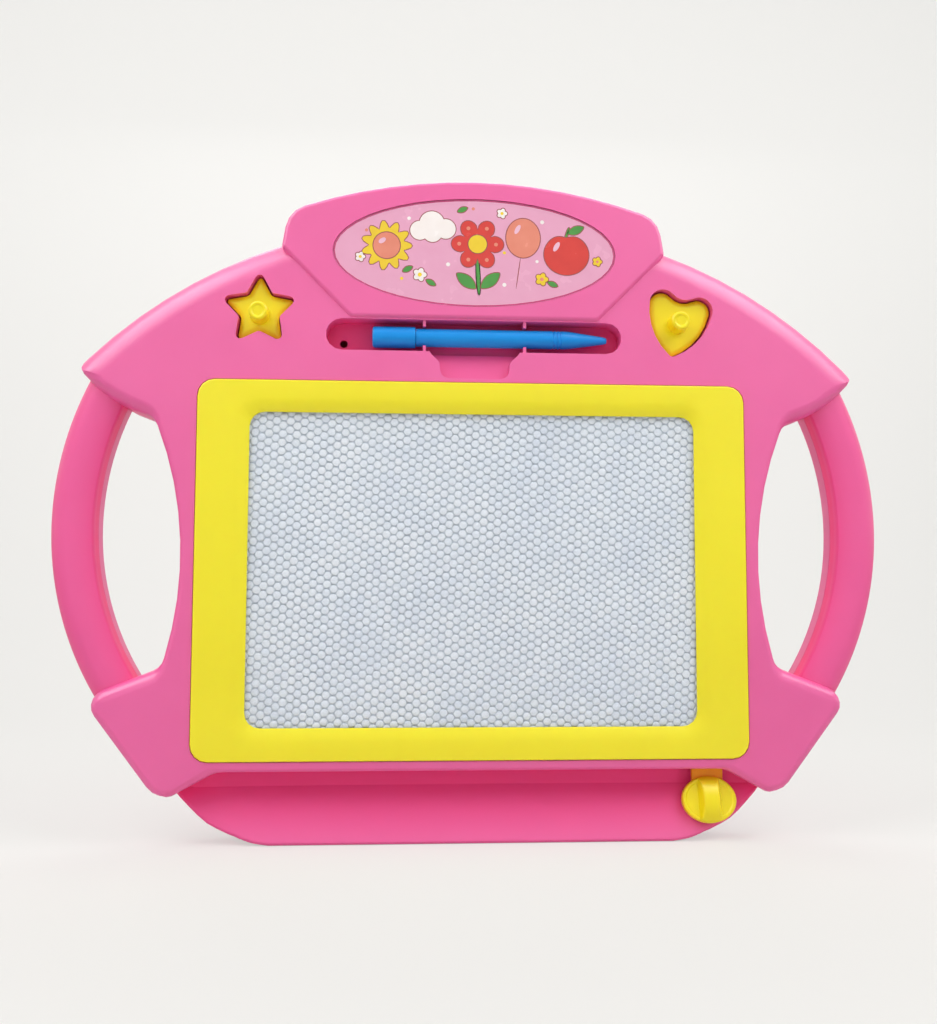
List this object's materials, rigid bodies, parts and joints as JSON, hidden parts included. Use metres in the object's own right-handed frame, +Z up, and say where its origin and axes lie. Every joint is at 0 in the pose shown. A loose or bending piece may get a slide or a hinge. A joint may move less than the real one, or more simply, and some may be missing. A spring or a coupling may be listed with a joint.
{
  "type": "magnetic drawing board",
  "caption": "Child's magnetic drawing board that stands on a flat foot, with hand-hole handles, a sliding eraser knob, a stylus in a well and lift-out star and heart stamps.",
  "frame": {"origin": "middle of the bounding box's base: on the ground under the middle of the board", "axes": "+X to the right seen from the front, +Y towards the back, +Z up from the foot"},
  "size_m": [0.4142, 0.0356, 0.3263],
  "materials": {
    "pink_shell": "injection-moulded pink plastic, satin gloss",
    "yellow_plastic": "injection-moulded yellow plastic, satin gloss",
    "blue_plastic": "injection-moulded blue plastic, satin gloss",
    "clear_film": "clear plastic film with a light matt grain",
    "screen_cells": "pale grey fluid in formed plastic cells",
    "label_print": null,
    "carriage_plastic": "natural moulded plastic",
    "magnet_rubber": "flexible magnet sheet, dark grey",
    "screw_steel": "zinc-plated steel"
  },
  "bodies": {
    "board": {"front_housing": "pink_shell", "rear_housing": "pink_shell", "screen_bezel": "yellow_plastic", "screen_front_film": "clear_film", "screen_honeycomb": "screen_cells", "screen_back_film": "clear_film", "label_sticker": "label_print", "rear_screw_1": "screw_steel", "rear_screw_2": "screw_steel", "rear_screw_3": "screw_steel", "rear_screw_4": "screw_steel", "rear_screw_5": "screw_steel", "rear_screw_6": "screw_steel", "rear_screw_7": "screw_steel", "rear_screw_8": "screw_steel"},
    "eraser": {"eraser_knob": "yellow_plastic", "eraser_carriage": "carriage_plastic", "eraser_magnet_strip": "magnet_rubber", "carriage_screw": "screw_steel"},
    "star": {"star_stamp": "yellow_plastic", "star_stamp_magnet": "magnet_rubber"},
    "heart": {"heart_stamp": "yellow_plastic", "heart_stamp_magnet": "magnet_rubber"},
    "stylus": {"stylus_barrel": "blue_plastic", "stylus_end_cap": "blue_plastic", "stylus_tip_magnet": "screw_steel"}
  },
  "joints": [
    {"name": "eraser_slide", "type": "slide", "parent": "board", "child": "eraser", "axis": [-1, 0, 0], "range_m": [0, 0.233]},
    {"name": "star_lift", "type": "slide", "parent": "board", "child": "star", "axis": [0, -1, 0], "range_m": [0, 0.03]},
    {"name": "heart_lift", "type": "slide", "parent": "board", "child": "heart", "axis": [0, -1, 0], "range_m": [0, 0.03]},
    {"name": "stylus_lift", "type": "slide", "parent": "board", "child": "stylus", "axis": [0, -1, 0], "range_m": [0, 0.03]}
  ]
}
